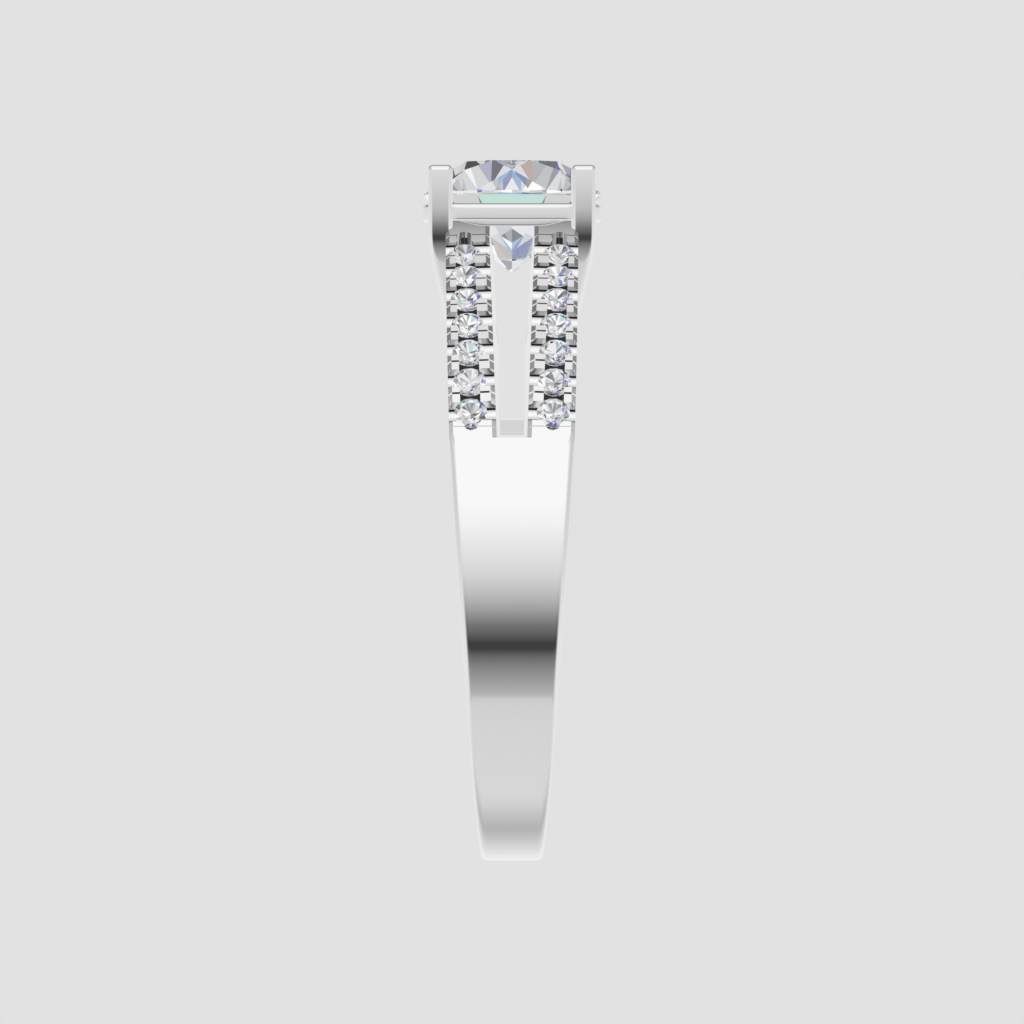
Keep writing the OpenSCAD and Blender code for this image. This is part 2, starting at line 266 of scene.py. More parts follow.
def shade_evenly(mesh, smooth_deg=34):
    """Sets the shading normals: at each face's corner, the sum of area times normal over the faces
    round that vertex which lean less than smooth_deg from it. Flat faces so stay flat beside their
    roundings, and steeper edges stay sharp."""
    corners = len(mesh.loops)
    vertex = np.empty(corners, int)
    mesh.loops.foreach_get("vertex_index", vertex)
    sides = np.empty(len(mesh.polygons), int)
    mesh.polygons.foreach_get("loop_total", sides)
    normal = np.empty(len(sides) * 3)
    mesh.polygons.foreach_get("normal", normal)
    normal = normal.reshape(-1, 3)
    area = np.empty(len(sides))
    mesh.polygons.foreach_get("area", area)
    face = np.repeat(np.arange(len(sides)), sides)
    order = np.argsort(vertex, kind="stable")
    vertex, face = vertex[order], face[order]
    count = np.bincount(vertex, minlength=len(mesh.vertices))
    pairs = count[vertex]
    own = np.repeat(np.arange(corners), pairs)
    step = np.arange(pairs.sum()) - np.repeat(np.cumsum(pairs) - pairs, pairs)
    other = np.repeat((np.cumsum(count) - count)[vertex], pairs) + step
    near = (normal[face[own]] * normal[face[other]]).sum(1) > math.cos(math.radians(smooth_deg))
    weight = np.where(near, area[face[other]], 0)
    total = np.stack([np.bincount(own, weight * normal[face[other], k], corners) for k in range(3)], 1)
    total /= np.maximum(np.linalg.norm(total, axis=1, keepdims=True), 1e-30)
    shown = np.empty_like(total)
    shown[order] = total
    mesh.shade_smooth()
    mesh.normals_split_custom_set(shown.tolist())


def make_piece(name, shells, *materials):
    """One object from shells, each (points in metres, list of index arrays of faces). Doubles are
    merged, faces without area are dropped and the normals turned outwards. A shell's first two
    blocks of faces take the first material, and each further block the next one."""
    old = bpy.data.objects.get(name)
    if old is not None:
        bpy.data.objects.remove(old)
    points, faces, finish, offset = [], [], [], 0
    for shell, blocks in shells:
        points.append(np.asarray(shell, float).reshape(-1, 3))
        for k, block in enumerate(blocks):
            faces.extend((np.asarray(block) + offset).tolist())
            finish.extend([min(max(k - 1, 0), len(materials) - 1)] * len(block))
        offset += len(points[-1])
    mesh = bpy.data.meshes.new(name)
    mesh.from_pydata(np.concatenate(points), [], faces)
    mesh.polygons.foreach_set("material_index", finish)
    bm = bmesh.new()
    bm.from_mesh(mesh)
    bmesh.ops.remove_doubles(bm, verts=bm.verts, dist=2e-7)
    bmesh.ops.dissolve_degenerate(bm, edges=bm.edges, dist=1e-7)
    bmesh.ops.recalc_face_normals(bm, faces=bm.faces)
    bm.to_mesh(mesh)
    bm.free()
    shade_evenly(mesh)
    for material in materials:
        mesh.materials.append(material)
    piece = bpy.data.objects.new(name, mesh)
    bpy.context.scene.collection.objects.link(piece)
    return piece


def dress(piece, *nodes, slot="white_gold"):
    """The piece rides on the ring's one body and stands for those nodes, which are hidden. The slot argument
    is not used.
    """
    piece.visible_transmission = False
    mirrors_studio_only(piece)
    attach(piece, "root")
    if nodes:
        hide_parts(*nodes)
    return piece


def mirrors_studio_only(piece):
    """As in the photo, metal and facets show only the studio's screens, not the ring's own other
    parts, and the ring casts no shadow on the paper."""
    piece.visible_glossy = False
    piece.visible_diffuse = False
    piece.visible_shadow = False


def rounded_rectangle(x0, x1, y0, y1, r, steps=4):
    """Loop of points of a rectangle whose corners are quarter circles, anticlockwise."""
    loop = []
    centres = ((x1 - r, y1 - r), (x0 + r, y1 - r), (x0 + r, y0 + r), (x1 - r, y0 + r))
    for quarter, (cx, cy) in enumerate(centres):
        a = np.radians(90 * quarter + np.linspace(0, 90, steps + 1))
        loop.append(np.stack([cx + r * np.cos(a), cy + r * np.sin(a)], -1))
    return np.concatenate(loop)


def capped(rings):
    """A tube of equal loops with a fan on a middle point at each end: (points, faces)."""
    n, m = rings.shape[:2]
    points = np.concatenate([rings.reshape(-1, 3), rings[:1].mean(1), rings[-1:].mean(1)])
    j = np.arange(m)
    k = (j + 1) % m
    low = np.stack([j, k, np.full(m, n * m)], -1)[:, ::-1]
    high = np.stack([(n - 1) * m + j, (n - 1) * m + k, np.full(m, n * m + 1)], -1)
    return points, [grid_faces(n, m), low, high]


def mirror_images(shell, v, across=(1, -1), along=(1, -1)):
    """The laid shell once for each pair of signs, mirrored across a middle plane where its sign is
    negative. A single mirroring turns a shape inside out, so its faces are turned over."""
    points, faces = shell
    images = []
    for sx in across:
        for sy in along:
            turned = [f[:, ::-1] if sx != sy else f for f in faces]
            images.append((laid(points * np.array([sx, sy, 1]), v), turned))
    return images


# Materials


def add_node(tree, kind, links=(), **settings):
    """Adds a node and sets its properties or sockets. Each of the links is a socket of the node with
    the socket that feeds it, or with its own value."""
    node = tree.nodes.new(kind)
    for key, value in settings.items():
        if key in node.bl_rna.properties:
            setattr(node, key, value)
        else:
            node.inputs[key.replace("_", " ")].default_value = value
    for socket, source in links:
        if isinstance(source, bpy.types.NodeSocket):
            tree.links.new(source, node.inputs[socket])
        else:
            node.inputs[socket].default_value = source
    return node


def new_material(name):
    """An empty node material, replacing one of the same name."""
    old = bpy.data.materials.get(name)
    if old is not None:
        bpy.data.materials.remove(old)
    material = bpy.data.materials.new(name)
    material.use_nodes = True
    material.node_tree.nodes.clear()
    return material


def set_stops(ramp, stops):
    """Gives a colour ramp its stops, each (position, linear colour)."""
    elements = ramp.color_ramp.elements
    while len(elements) < len(stops):
        elements.new(0.5)
    for element, (position, _) in zip(elements, stops):
        element.position = position
    for element, (_, tone) in zip(elements, stops):
        element.color = (*tone, 1)


def clouded_material(name, size, detail, stops, **surface):
    """A material whose colour drifts between the stops over clouds of this size in millimetres."""
    material = new_material(name)
    tree = material.node_tree
    place = add_node(tree, "ShaderNodeTexCoord")
    scale = 1 / (size * MM)
    clouds = add_node(
        tree, "ShaderNodeTexNoise", [("Vector", place.outputs["Object"])], Scale=scale, Detail=detail
    )
    tone = add_node(tree, "ShaderNodeValToRGB", [("Fac", clouds.outputs["Fac"])])
    set_stops(tone, stops)
    shader = add_node(tree, "ShaderNodeBsdfPrincipled", [("Base Color", tone.outputs["Color"])], **surface)
    add_node(tree, "ShaderNodeOutputMaterial", [("Surface", shader.outputs["BSDF"])])
    return material


def white_gold_polished():
    """White gold under rhodium plating, mirror polished on felt: a hard clean mirror, a shade
    greyer than silver, with only a breath of haze where the wheel ran out."""
    material = new_material(POLISHED)
    tree = material.node_tree
    place = add_node(tree, "ShaderNodeTexCoord")
    haze = add_node(
        tree, "ShaderNodeTexNoise", [("Vector", place.outputs["Object"])], Scale=1 / (1.5 * MM), Detail=2.0
    )
    gloss = add_node(
        tree,
        "ShaderNodeMapRange",
        [("Value", haze.outputs["Fac"])],
        From_Min=0.3,
        From_Max=0.7,
        To_Min=0.01,
        To_Max=0.03,
    )
    shader = add_node(
        tree,
        "ShaderNodeBsdfPrincipled",
        [("Roughness", gloss.outputs["Result"])],
        Base_Color=(*bpy.context.scene.ring_finishes.metal, 1),
        Metallic=1.0,
    )
    add_node(tree, "ShaderNodeOutputMaterial", [("Surface", shader.outputs["BSDF"])])
    return material


def white_gold_painted_shade():
    """Painted shade: white gold coloured nearly black with a fine dull clouded grain, put where shade falls
    in the channels between the stones and on a belt of each groove's wall."""
    stops = ((0.0, srgb("#1c1c1d")), (1.0, srgb("#48484a")))
    return clouded_material("white_gold_channel_painted_shade", 0.08, 2.0, stops, Metallic=1.0, Roughness=0.4)


def white_gold_drilled_painted_shade():
    """Painted shade on the drilled round's wall: white gold coloured mid grey to pale grey, with darker
    streaks that run down the hole, side by side along the finger hole's direction."""
    material = new_material("white_gold_drilled_painted_shade")
    tree = material.node_tree
    place = add_node(tree, "ShaderNodeTexCoord")
    parts = add_node(tree, "ShaderNodeSeparateXYZ", [("Vector", place.outputs["Object"])])
    streaks = add_node(
        tree, "ShaderNodeTexNoise", [("W", parts.outputs["Z"])], noise_dimensions="1D", Scale=1 / (0.13 * MM)
    )
    tone = add_node(tree, "ShaderNodeValToRGB", [("Fac", streaks.outputs["Fac"])])
    set_stops(tone, ((0.36, srgb("#6a6b6d")), (0.64, srgb("#c4c5c7"))))
    shader = add_node(
        tree,
        "ShaderNodeBsdfPrincipled",
        [("Base Color", tone.outputs["Color"])],
        Metallic=1.0,
        Roughness=0.12,
    )
    add_node(tree, "ShaderNodeOutputMaterial", [("Surface", shader.outputs["BSDF"])])
    return material


def diamond_cut():
    """Natural diamond, faceted and polished on the wheel: nearly colourless, very bright flat
    facets, with faint cold and warm zones of growth through the body."""
    finishes = bpy.context.scene.ring_finishes
    stops = ((0.35, finishes.diamond_cold), (0.65, finishes.diamond_warm))
    polish = {"Roughness": 0.0, "IOR": 2.417, "Transmission_Weight": 1.0}
    return clouded_material("diamond_brilliant_cut", 0.9, 1.0, stops, **polish)


def studio_floor():
    """Matt studio paper: pale grey, with a very faint unevenness of its own."""
    base = bpy.context.scene.ring_finishes.floor
    stops = ((0.0, [c * 0.995 for c in base]), (1.0, base))
    return clouded_material("studio_paper_matt", 40, 2.0, stops, Roughness=0.9, Specular_IOR_Level=0.1)


# Band and shoulders


def arch_place(s, v):
    """Outer line of the near half, by its length s from where the shoulder leaves the band: the
    band's circle for s under 0 and the shoulder's larger circle above, tangent to each other.
    Returns y, z and the rise of the outward normal above the horizontal."""
    on_band = s < 0
    rise = v.lift + s / np.where(on_band, v.band_r, v.arch_r)
    y = np.where(on_band, -v.band_r * np.cos(rise), v.arch_y - v.arch_r * np.cos(rise))
    z = np.where(on_band, v.band_r * np.sin(rise), v.arch_z + v.arch_r * np.sin(rise))
    return y, z, rise


def depth_to_bore(y, z, rise, v):
    """Distance from a point of the outer line, straight inwards, to the finger hole's wall."""
    along = y * np.cos(rise) - z * np.sin(rise)
    return -along - np.sqrt(np.maximum(along**2 - (y**2 + z**2 - v.bore_r**2), 0))


def row_centre(s, v):
    """Distance of a row's middle line from the ring's middle plane."""
    return (v.gap_low + (v.gap_head - v.gap_low) * (s - v.stones[-1]) / (v.stones[0] - v.stones[-1])) / 2


def half_width(z, v):
    """Half width of the ring at a height, straight from the back to the split and on to the head."""
    low, split, head = v.width_low / 2, v.width_split / 2, v.width_head / 2
    band = low + (split - low) * (z + v.band_r) / (v.shoulder_z + v.band_r)
    shoulder = split + (head - split) * (z - v.shoulder_z) / (v.rail_foot + 1 - v.shoulder_z)
    return np.where(z < v.shoulder_z, band, shoulder)


def slot_half(z, depth, v):
    """Half width of the slot at a height, a little narrower deeper in."""
    wide = v.slot_w_low / 2 + (v.slot_w_head - v.slot_w_low) / 2 * np.clip(
        (z - v.slot_low) / (v.rail_foot - 0.5 - v.slot_low), 0, 1
    )
    return wide - 0.07 * depth


def groove_depth(s, v):
    """Depth of the groove nearest to each place s: a circle round the groove's middle on the outer
    line, and above it the straight wall that touches the circle at the groove's turn."""
    near = np.abs(s[:, None] - v.grooves[None, :]).argmin(1)
    ds = s - v.grooves[near]
    turn = v.groove_turn[near]
    round_part = np.sqrt(np.clip(v.groove_r**2 - ds**2, 0, None))
    wall = np.clip((v.groove_top[near] - ds) * np.tan(turn), 0, None)
    return np.where(ds > v.groove_r * np.sin(turn), wall, round_part), near


def shank_stations(v):
    """Places along the quarter, close together at each groove, crease and end."""
    step = 1e-3
    s_back = -(math.pi / 2 + v.lift) * v.band_r
    s_slot = (math.asin(v.slot_low / v.band_r) - v.lift) * v.band_r
    low = v.last_stone - CHANNEL_LOW
    head = v.stones[0] + DRILL_UP
    parts = [
        np.linspace(s_back, -1.2, 62),
        [-0.9, -0.6, -0.4, -0.25, s_slot - 0.12, s_slot - step, s_slot + step, -0.05, 0.05, 0.12],
        [low - step],
        low + CHANNEL_LOW_R * (1 - np.cos(np.radians(np.linspace(0, 90, 7)))),
        [low + CHANNEL_FULL],
        head + DRILL_R * np.sin(np.radians(np.linspace(-60, 90, 14))),
        [head + DRILL_R + step, WINDOW_START - step, WINDOW_START + step],
        np.linspace(head + 0.36, math.radians(HEAD_DEG - SPLIT_DEG) * v.arch_r, 9),
    ]
    for middle, turn, top in zip(v.grooves, v.groove_turn, v.groove_top):
        parts.append(middle - v.groove_r * np.cos(np.radians(np.linspace(0, 84, 9))))
        black = np.linspace(turn - math.radians(SHADE_BELT_DEG[1]), turn - math.radians(SHADE_BELT_DEG[0]), 4)
        parts.append(middle + v.groove_r * np.sin(np.append(np.linspace(0, black[0], 6), [*black, turn])))
        parts.append(middle + np.array([top - 0.5 * (top - v.groove_r * math.sin(turn)), top]))
    for middle, up in zip(v.creases, v.crease_up):
        parts.append(middle + np.array([-0.16, -0.08, -0.03, 0, up, 0.1, 0.16]))
    s = np.sort(np.concatenate([np.asarray(p, float) for p in parts]))
    return s[np.append(True, np.diff(s) > 4e-4)], s_slot, low, head


def shank_quarter(v):
    """The near right quarter of band and shoulder as one grid. A cross-section loop is carried
    along the outer line: over the top from the slot to the outer edge, round it, down, back along
    the finger hole and up the slot's wall. Depth below the outer line is the edge's chamfer or
    quarter ellipse, or the deepest of groove (circle and wall), channel (flat floor) and stone seat
    (cone), with a V at each crease. Below the slot the inner wall lies on the middle plane, where
    the two halves join, and its faces are left out. Returns points and blocks of faces: polished ones, the
    end, those in channels and grooves that carry the painted shade, and the drilled round with its own
    painted shade."""
    s, s_slot, low, head = shank_stations(v)
    y0, z0, rise = arch_place(s, v)
    slotted = s > s_slot
    full = depth_to_bore(y0, z0, rise, v)
    inner_r = np.hypot(y0 + v.arch_t * np.cos(rise), z0 - v.arch_t * np.sin(rise))
    window = (inner_r > v.bore_r + v.under_head_t) & (z0 > v.bore_r)
    bottom = np.where(window, v.arch_t, full)
    n = len(s)

    edge_x = half_width(z0, v)
    centre = np.where(s > 0, row_centre(s, v), ROW_SHARE * edge_x)
    # half width of the channel: a round at its lower end, straight, and the drilled round at the head
    straight = v.channel_w / 2
    past_round = s - low - CHANNEL_LOW_R
    taper = np.clip(past_round / (CHANNEL_FULL - CHANNEL_LOW_R), 0, 1)
    half = np.where(s < low + CHANNEL_FULL, CHANNEL_LOW_R + (straight - CHANNEL_LOW_R) * taper, straight)
    round_end = np.sqrt(np.clip(CHANNEL_LOW_R**2 - past_round**2, NARROW**2, None))
    half = np.where(s < low + CHANNEL_LOW_R, round_end, half)
    neck = (v.stones[0] + 0.3, head - 0.2)
    half = np.where(s > neck[0], np.interp(s, neck, (straight, DRILL_NECK)), half)
    drill = np.sqrt(np.clip(DRILL_R**2 - (s - head) ** 2, 0, None))
    half = np.where(s > head - 0.24, np.maximum(drill, DRILL_NECK * (s < head)), half)
    half = np.where(s > head + DRILL_R - 0.005, NARROW, half)
    half = np.where(s < low, NARROW + 0.18 * np.clip(low - s, 0, 1), half)
    past_drill = NARROW + 0.18 * np.clip((s - head - DRILL_R) / 0.6, 0, 1)
    half = np.where(s > head + DRILL_END, past_drill, half)
    half = np.where(s < low, np.minimum(half, (1 - ROW_SHARE) * edge_x - v.edge_w - 0.03), half)
    in_channel = (s > low) & (s < head + DRILL_END)

    # the band's rounded edges turn into the blocks' chamfers where the rows begin
    block = np.clip((s + 0.3) / 0.4, 0, 1)
    edge_w = v.edge_w + (v.chamfer - v.edge_w) * block
    chamfer, under = v.chamfer, HOLE_EDGE
    xs, depths, kinds = [], [], []
    block_top, channel_wall, channel_floor, side = range(4)

    def column(x, depth, kind):
        xs.append(np.broadcast_to(x, (n,)))
        depths.append(np.broadcast_to(depth, (n,)))
        kinds.append(kind)

    inner = slot_half(z0, 0.0, v)
    x_first = np.where(slotted, inner + chamfer, 0.0)
    wall_in = centre - half
    end_x = v.slot_w_low / 2
    shrink = np.minimum(1.0, (ROW_SHARE * edge_x - 0.2) / (end_x + chamfer + 0.1))
    for on, off in ((0, 0), (0.3, 0.5), (0.55, 1)):
        column(np.where(slotted, x_first + on * (wall_in - x_first), off * end_x * shrink), 0.0, block_top)
    for on, off in ((0.7, 0), (0.8, 0.25), (0.9, 0.5), (0.97, 0.8), (1, 1)):
        corner = (end_x + chamfer) * shrink
        x_off = corner + off * (wall_in - corner)
        column(np.where(slotted, x_first + on * (wall_in - x_first), x_off), 0.0, block_top)
    wall_out = centre + half
    column(wall_in, 0.0, channel_wall)
    for share in (-0.985, -0.8, -0.55, -0.28, 0.0, 0.28, 0.55, 0.8, 0.985):
        column(centre + share * half, 0.0, channel_floor)
    column(wall_out, 0.0, channel_wall)
    for f in (0.0, 0.06, 0.2, 0.4, 0.6, 0.8, 1.0):
        column(wall_out + f * (edge_x - edge_w - wall_out), 0.0, block_top)
    for t in np.linspace(0, 1, 8)[1:]:
        angle = t * math.pi / 2
        x_round, depth_round = edge_w * math.sin(angle), v.edge_h * (1 - math.cos(angle))
        x_edge = edge_x - edge_w + x_round * (1 - block) + edge_w * t * block
        column(x_edge, depth_round * (1 - block) + chamfer * t * block, block_top)
    side_low = bottom - under
    for f in (0.0, 0.5, 1.0):
        column(edge_x, SIDE_TOP + f * (side_low - SIDE_TOP), side)
    for t in np.radians(np.linspace(22.5, 90, 4)):
        column(edge_x - under + under * math.cos(t), side_low + under * math.sin(t), side)
    first_inner = len(kinds)
    low_first = np.where(slotted, inner, 0.0)
    turn_r = np.where(slotted, under, 0.0)
    for f in (0.3, 0.7):
        column(edge_x - under + f * (low_first + turn_r - edge_x + under), bottom, side)
    for t in np.radians(np.linspace(0, 90, 4)):
        column(low_first + turn_r - turn_r * math.sin(t), bottom - under + under * math.cos(t), side)
    for f in (0.5, 1.0):
        column(low_first, side_low + f * (SIDE_TOP - side_low), side)
    column(low_first, np.where(slotted, chamfer, SIDE_TOP / 2), block_top)
    x = np.stack(xs, 1)
    depth = np.stack(depths, 1)
    kind = np.array(kinds)
    top = (kind == block_top)[None, :]

    # the place of each point, before the cuts
    z = z0[:, None] - depth * np.sin(rise)[:, None]
    wall = slot_half(z, depth, v) - inner[:, None]
    x = np.where(slotted[:, None], x + wall * (np.arange(len(kind)) >= first_inner)[None, :], x)
    outward = (x - centre[:, None]) / np.maximum(edge_x - centre, 0.1)[:, None]
    x = x + (half_width(z, v) - edge_x[:, None]) * outward.clip(0, 1)

    # cuts into the top
    cut, near = groove_depth(s, v)
    ds = s - v.stones[near]
    past = s - v.grooves[near]
    w = x - centre[:, None]
    depth = np.maximum(depth, cut[:, None] * top)
    off_crease = np.abs(s[:, None] - v.creases[None, :]).min(1)
    depth = depth + np.where(off_crease < 4e-3, v.crease, 0)[:, None] * top
    # stone seats, as cones in the channel's floor and in the deep part of each groove
    seat_r = v.stone_d / 2 + SEAT_SLACK
    rho = np.hypot(ds[:, None], w)
    cone = v.sink + GIRDLE_HALF + PAVILION * (1 - rho / seat_r)
    open_here = (kind == channel_floor)[None, :] | (top & (cut > 0.22)[:, None])
    depth = np.where(open_here & (rho < seat_r) & (s > low)[:, None], np.maximum(depth, cone), depth)
    floor = v.channel_depth + 0.06 * (s > head - 0.25)
    channel = (kind == channel_floor)[None, :] & in_channel[:, None]
    depth = np.where(channel, np.maximum(depth, floor[:, None]), depth)

    # the grooves' walls are cut back under the bead blocks, round the stone's girdle, and the
    # channel's walls stand straight from its rims to at least four tenths of its depth
    along = np.repeat(s[:, None], len(kind), 1)
    upper = np.interp(depth, [0, v.sink - GIRDLE_HALF], [CROWN_R, seat_r])
    lower = seat_r * (1 - (depth - v.sink - GIRDLE_HALF) / PAVILION)
    reach = np.where(depth < v.sink + GIRDLE_HALF, upper, lower)
    push = np.sqrt(np.clip(reach**2 - w**2, 0, None))
    walls = top & ((cut > 0.03) & (cut <= 0.235))[:, None] & (push > (np.sign(past) * ds)[:, None])
    along = np.where(walls, v.stones[near][:, None] + np.sign(past)[:, None] * push, along)
    for at, rim in zip(np.flatnonzero(kind == channel_wall), (-1, 1)):
        along[:, at] = along[:, at + rim]
        depth[:, at] = np.maximum(depth[:, at + rim], 0.4 * floor * in_channel)
    # blocks and grooves lie square to their row, which leans away from the ring's middle
    along = along - 0.05 * w * np.clip((s - low) / 0.4, 0, 1)[:, None] * (x > 0.3)

    y0, z0, rise = arch_place(along, v)
    points = np.stack([x, y0 + depth * np.cos(rise), z0 - depth * np.sin(rise)], -1)
    # the shoulders stop under the rail and beside the open space below the stone
    head_end = (s > v.stones[0])[:, None]
    points[..., 1] = np.where(head_end, np.minimum(points[..., 1], -WELL_Y), points[..., 1])

    # faces by material: painted shade colours the channel dark from its lower round up to the drilled round,
    # and a belt of each groove's wall as well
    columns = len(kind)
    quads = grid_faces(n, columns)
    flat = points.reshape(-1, 3)
    inside = (np.abs(flat[quads, 0]) < 1e-9).all(1)
    below_rim = (kind == channel_wall) | (kind == channel_floor)
    in_floor = below_rim | np.roll(below_rim, -1)
    # the floor without its outermost columns
    mid_floor = kind == channel_floor
    mid_floor[[mid_floor.argmax(), columns - 1 - mid_floor[::-1].argmax()]] = False
    channel_row = (in_channel[:-1] | in_channel[1:])[:, None]
    angle = v.groove_turn[near] - np.arcsin(np.clip(past / v.groove_r, -1, 1))
    black_from, black_to = np.radians((SHADE_BELT_DEG[0] - 0.1, SHADE_BELT_DEG[1] + 0.1))
    # the belt of a groove's wall that takes the painted black shade
    groove_shade_belt = (angle[:-1] > black_from) & (angle[:-1] < black_to) & (np.abs(past[:-1]) < v.groove_r)
    groove_shade_belt &= (angle[1:] > black_from) & (cut[1:] > 0.02)
    low_part = (s[:-1] < head - 0.05)[:, None] & mid_floor[None, :]
    painted_dark = channel_row & in_floor[None, :] & ((s[:-1] < head - 0.2)[:, None] | low_part)
    painted_dark &= (s[:-1] > low + 0.3)[:, None]
    # painted black shade at the foot of the drilled round's wall
    after = np.roll(kind, -1)
    foot = (np.minimum(kind, after) == channel_wall) & (np.maximum(kind, after) == channel_floor)
    painted_dark |= ((s[:-1] > head + 0.24) & channel_row[:, 0])[:, None] & (foot | mid_floor)[None, :]
    painted_dark = (painted_dark | groove_shade_belt[:, None] & top).ravel()
    # the other channel faces, round the drilled round, take its painted shade
    drilled = (channel_row & in_floor[None, :]).ravel() & ~painted_dark
    last = (n - 1) * columns + np.arange(columns)
    cap = np.stack([last, np.roll(last, -1), np.full(columns, n * columns)], -1)
    flat = np.concatenate([flat, points[-1:].mean(1)])
    return flat, [quads[~inside & ~painted_dark & ~drilled], cap, quads[~inside & painted_dark], quads[~inside & drilled]]


def slot_end(v):
    """The level sill at the near slot's lower end, whose grid ends square to the band: a wedge from
    the outer line straight back to the finger hole, and down along the hole, with its sides and its
    underside inside the band."""
    low = math.asin(v.slot_low / v.band_r)
    turn = np.linspace(math.asin(v.slot_low / v.bore_r), low - math.radians(1), 7)
    hole = np.stack([-v.bore_r * np.cos(turn), v.bore_r * np.sin(turn)], -1)
    front = np.array([[-v.band_r * math.cos(low), v.slot_low]])
    under = (v.band_r - 0.05) * np.array([[-math.cos(low - 0.02), math.sin(low - 0.02)]])
    profile = np.concatenate([front, hole, under])
    wide = v.slot_w_low / 2 + 0.02
    rings = [np.insert(profile, 0, x, axis=1) for x in (-wide, wide)]
    points, faces = capped(np.array(rings))
    return points, [faces[0], np.concatenate(faces[1:])]


def under_head_band(v):
    """The near-to-far plain band on the right: a rounded rectangle between the finger hole's circle
    and a larger one, carried over the top along the hole. The rectangle is worked out 1.5 mm wide
    and then spread from the slot to the outer edge."""
    wide = 1.5
    corner = rounded_rectangle(0, wide, 0, v.under_head_t, 0.09)
    across, r = corner[:, 0] / wide, v.bore_r + corner[:, 1]
    rings = []
    for a in np.radians(np.linspace(48, 132, 57)):
        z = r * math.sin(a)
        x_in = slot_half(z, 0.0, v) - 0.05
        x = x_in + across * (half_width(z, v) - x_in)
        rings.append(np.stack([x, -r * math.cos(a), z], -1))
    return capped(np.array(rings))


# Head


def rail_shell(v):
    """The gallery rail: a profile of two tiers with small roundings carried round a rounded square,
    and inside it the stone's cone and a round opening, joined point to point."""
    flats, arcs = 8, 14
    path, normal = [], []
    m = v.rail_w / 2 - v.rail_corner
    for quarter in range(4):
        a = math.pi / 2 * quarter + np.linspace(0, math.pi / 2, arcs + 1)
        out = np.stack([np.cos(a), np.sin(a)], -1)
        corner = m * np.array([np.sign(math.cos(a[arcs // 2])), np.sign(math.sin(a[arcs // 2]))])
        path.append(corner + v.rail_corner * out)
        normal.append(out)
        along = np.linspace(0, 1, flats + 2)[1:-1, None]
        tangent = np.array([-math.sin(a[-1]), math.cos(a[-1])])
        path.append(path[-1][-1] + along * tangent * 2 * m)
        normal.append(np.repeat(out[-1:], flats, 0))
    path, normal = np.concatenate(path), np.concatenate(normal)

    def low_edge(inset, height):
        """The small rounding at a tier's lower edge, as (inset, height) pairs."""
        return [[inset, height + 0.05], [inset + 0.015, height + 0.015], [inset + 0.05, height]]

    turn, r = np.radians(np.linspace(0, 90, 6)), 0.16
    top = np.stack([r - r * np.sin(turn), v.rail_top - r + r * np.cos(turn)], -1)
    outer = [*top, *low_edge(0, v.rail_low), (v.foot_in, v.rail_low), *low_edge(v.foot_in, v.rail_foot)]
    inner = (
        (v.opening_d / 2 + 0.05, v.rail_foot),
        (v.opening_d / 2, v.rail_foot + 0.05),
        (v.opening_d / 2, v.girdle_up - SEAT_LOW),
        (SEAT_TOP_R - 0.02, v.rail_top - 0.015),
        (SEAT_TOP_R, v.rail_top),
    )
    angle = np.arctan2(path[:, 1], path[:, 0])
    circle = np.stack([np.cos(angle), np.sin(angle)], -1)
    outlines = [(path - inset * normal, height) for inset, height in outer]
    outlines += [(radius * circle, height) for radius, height in inner]
    # the foot runs out upwards towards the claws, where it meets the broad tier's lower edge
    off_middle = np.abs(path).min(1)
    lift = (v.foot_h - 0.02) * np.clip((off_middle - 1.05) / 0.8, 0, 1)
    rings = []
    for outline, height in outlines:
        share = np.clip((v.rail_low - height) / v.foot_h, 0, 1)
        rings.append(np.concatenate([outline, (height + share * lift)[:, None]], 1))
    rings.append(rings[0])
    rings = np.array(rings)
    return rings.reshape(-1, 3), [grid_faces(len(rings), len(path))]


def lean(drops, table):
    """How far a claw has leaned in at each drop below the girdle: the integral of the slope that
    the table gives by drop."""
    fine = np.linspace(-1.0, 5.0, 601)
    slope = np.interp(fine, *zip(*table))
    return np.interp(drops, fine, np.cumsum(slope) * (fine[1] - fine[0]))


def claw_shell(v):
    """The near right claw: a rectangle with rounded corners carried down from the top, which a
    quarter circle closes by drawing the rectangle in. Its outer face keeps straight to below the
    rail and then leans in, its front leans back in a lengthening curve, and its edges grow rounder
    towards the foot, which ends just short of the finger hole."""
    turn = np.radians(np.linspace(90, 0, 9))
    top = -v.claw_up + v.claw_top * (1 - np.sin(turn))
    drops = np.concatenate([top, np.linspace(-0.65, 3.75, 32), [4.05]])
    draw = np.concatenate([v.claw_top * (1 - np.cos(turn)), np.zeros(len(drops) - len(top))])
    shift_x = lean(drops, ((1.32, 0), (2.1, 0.21), (3.4, 0.22), (4.9, 0.27)))
    shift_y = lean(
        drops, ((-0.6, 0), (0.6, 0.08), (0.94, 0.13), (1.6, 0.26), (2.27, 0.44), (3.6, 0.54), (4.9, 0.6))
    )
    edge = np.interp(drops, (1.8, 3.3), (v.claw_edge, CLAW_FOOT_EDGE)) - draw
    back = v.claw_out - v.claw_w
    rings = []
    for drop, inset, dx, dy, r in zip(drops, draw, shift_x, shift_y, edge):
        loop = rounded_rectangle(
            back + inset, v.claw_out - inset, -v.claw_front + inset, -v.claw_back - inset, max(r, 0.005), 6
        )
        rings.append(np.stack([loop[:, 0] - dx, loop[:, 1] + dy, np.full(len(loop), v.girdle_up - drop)], -1))
    rings[-1][:, 2] = np.sqrt((v.bore_r + 0.02) ** 2 - rings[-1][:, 1] ** 2)
    return capped(np.array(rings))


# Studio

